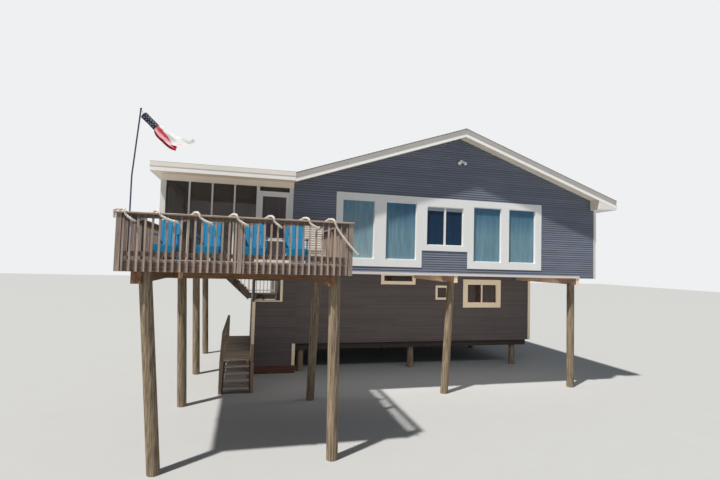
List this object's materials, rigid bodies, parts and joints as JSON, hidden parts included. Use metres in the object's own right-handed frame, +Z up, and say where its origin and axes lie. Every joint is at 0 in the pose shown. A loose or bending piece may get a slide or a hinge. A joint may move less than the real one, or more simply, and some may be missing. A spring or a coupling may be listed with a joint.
{
  "type": "beach house",
  "caption": "Gabled beach house on round piles, with a lapped-siding upper storey, screened porch, railed front deck, recessed lower storey and stairs.",
  "frame": {"origin": "the middle of the flat foot of the front wall's middle pile, on the ground", "axes": "+X to the right along the front wall, +Y to the back of the house, +Z up"},
  "size_m": [15.12, 16.0912, 8.5739],
  "materials": {
    "chair_blue": "bright blue boards",
    "cream_trim": "cream painted boards",
    "deck_wood": "weathered grey-brown boards",
    "flag_cloth": "red, white and blue cloth",
    "floor_wood": "joists and boards",
    "girder_wood": "rough sawn beams",
    "glass": "clear window glass",
    "lamp": "white lamp housing",
    "lower_siding": "brown-grey lapped siding, matt",
    "pile_wood": "weathered round piles",
    "pole": "thin pole",
    "rope": "off-white twisted rope",
    "screen": "dark insect screen",
    "shingle": "grey asphalt shingles",
    "siding": "blue-grey lapped siding, matt",
    "soffit": "beige vented soffit",
    "stair_wood": "weathered boards",
    "white_trim": "white coil trim, satin",
    "white_vinyl": "white vinyl, satin"
  },
  "bodies": {
    "root": {"house_piles": "pile_wood", "deck_piles": "pile_wood", "girders": "girder_wood", "upper_floor": "floor_wood", "front_wall": "siding", "right_wall": "siding", "left_wall": "siding", "back_wall": "siding", "main_roof": "shingle", "porch_roof": "shingle", "front_fascia": "white_trim", "rear_fascia": "white_trim", "soffits": "soffit", "upper_trim": "white_trim", "front_window_frame": "white_vinyl", "side_window_frames": "white_vinyl", "upper_glass": "glass", "floodlight": "lamp", "porch_floor": "floor_wood", "porch_frame": "white_vinyl", "porch_screens": "screen", "screen_door": "white_vinyl", "deck_frame": "deck_wood", "deck_boards": "deck_wood", "deck_posts": "deck_wood", "rail_caps": "deck_wood", "front_rail": "deck_wood", "left_rail": "deck_wood", "right_rail": "deck_wood", "rail_rope": "rope", "flagpole": "pole", "windsock": "flag_cloth", "deck_chairs": "chair_blue", "lower_front_wall": "lower_siding", "lower_side_walls": "lower_siding", "bay_skirt": "girder_wood", "lower_floor": "floor_wood", "lower_trim": "cream_trim", "lower_window_frames": "cream_trim", "lower_glass": "glass", "boardwalk": "stair_wood", "stair_landings": "stair_wood", "stair_stringers": "stair_wood", "stair_treads": "stair_wood", "stair_guards": "stair_wood"}
  },
  "joints": []
}
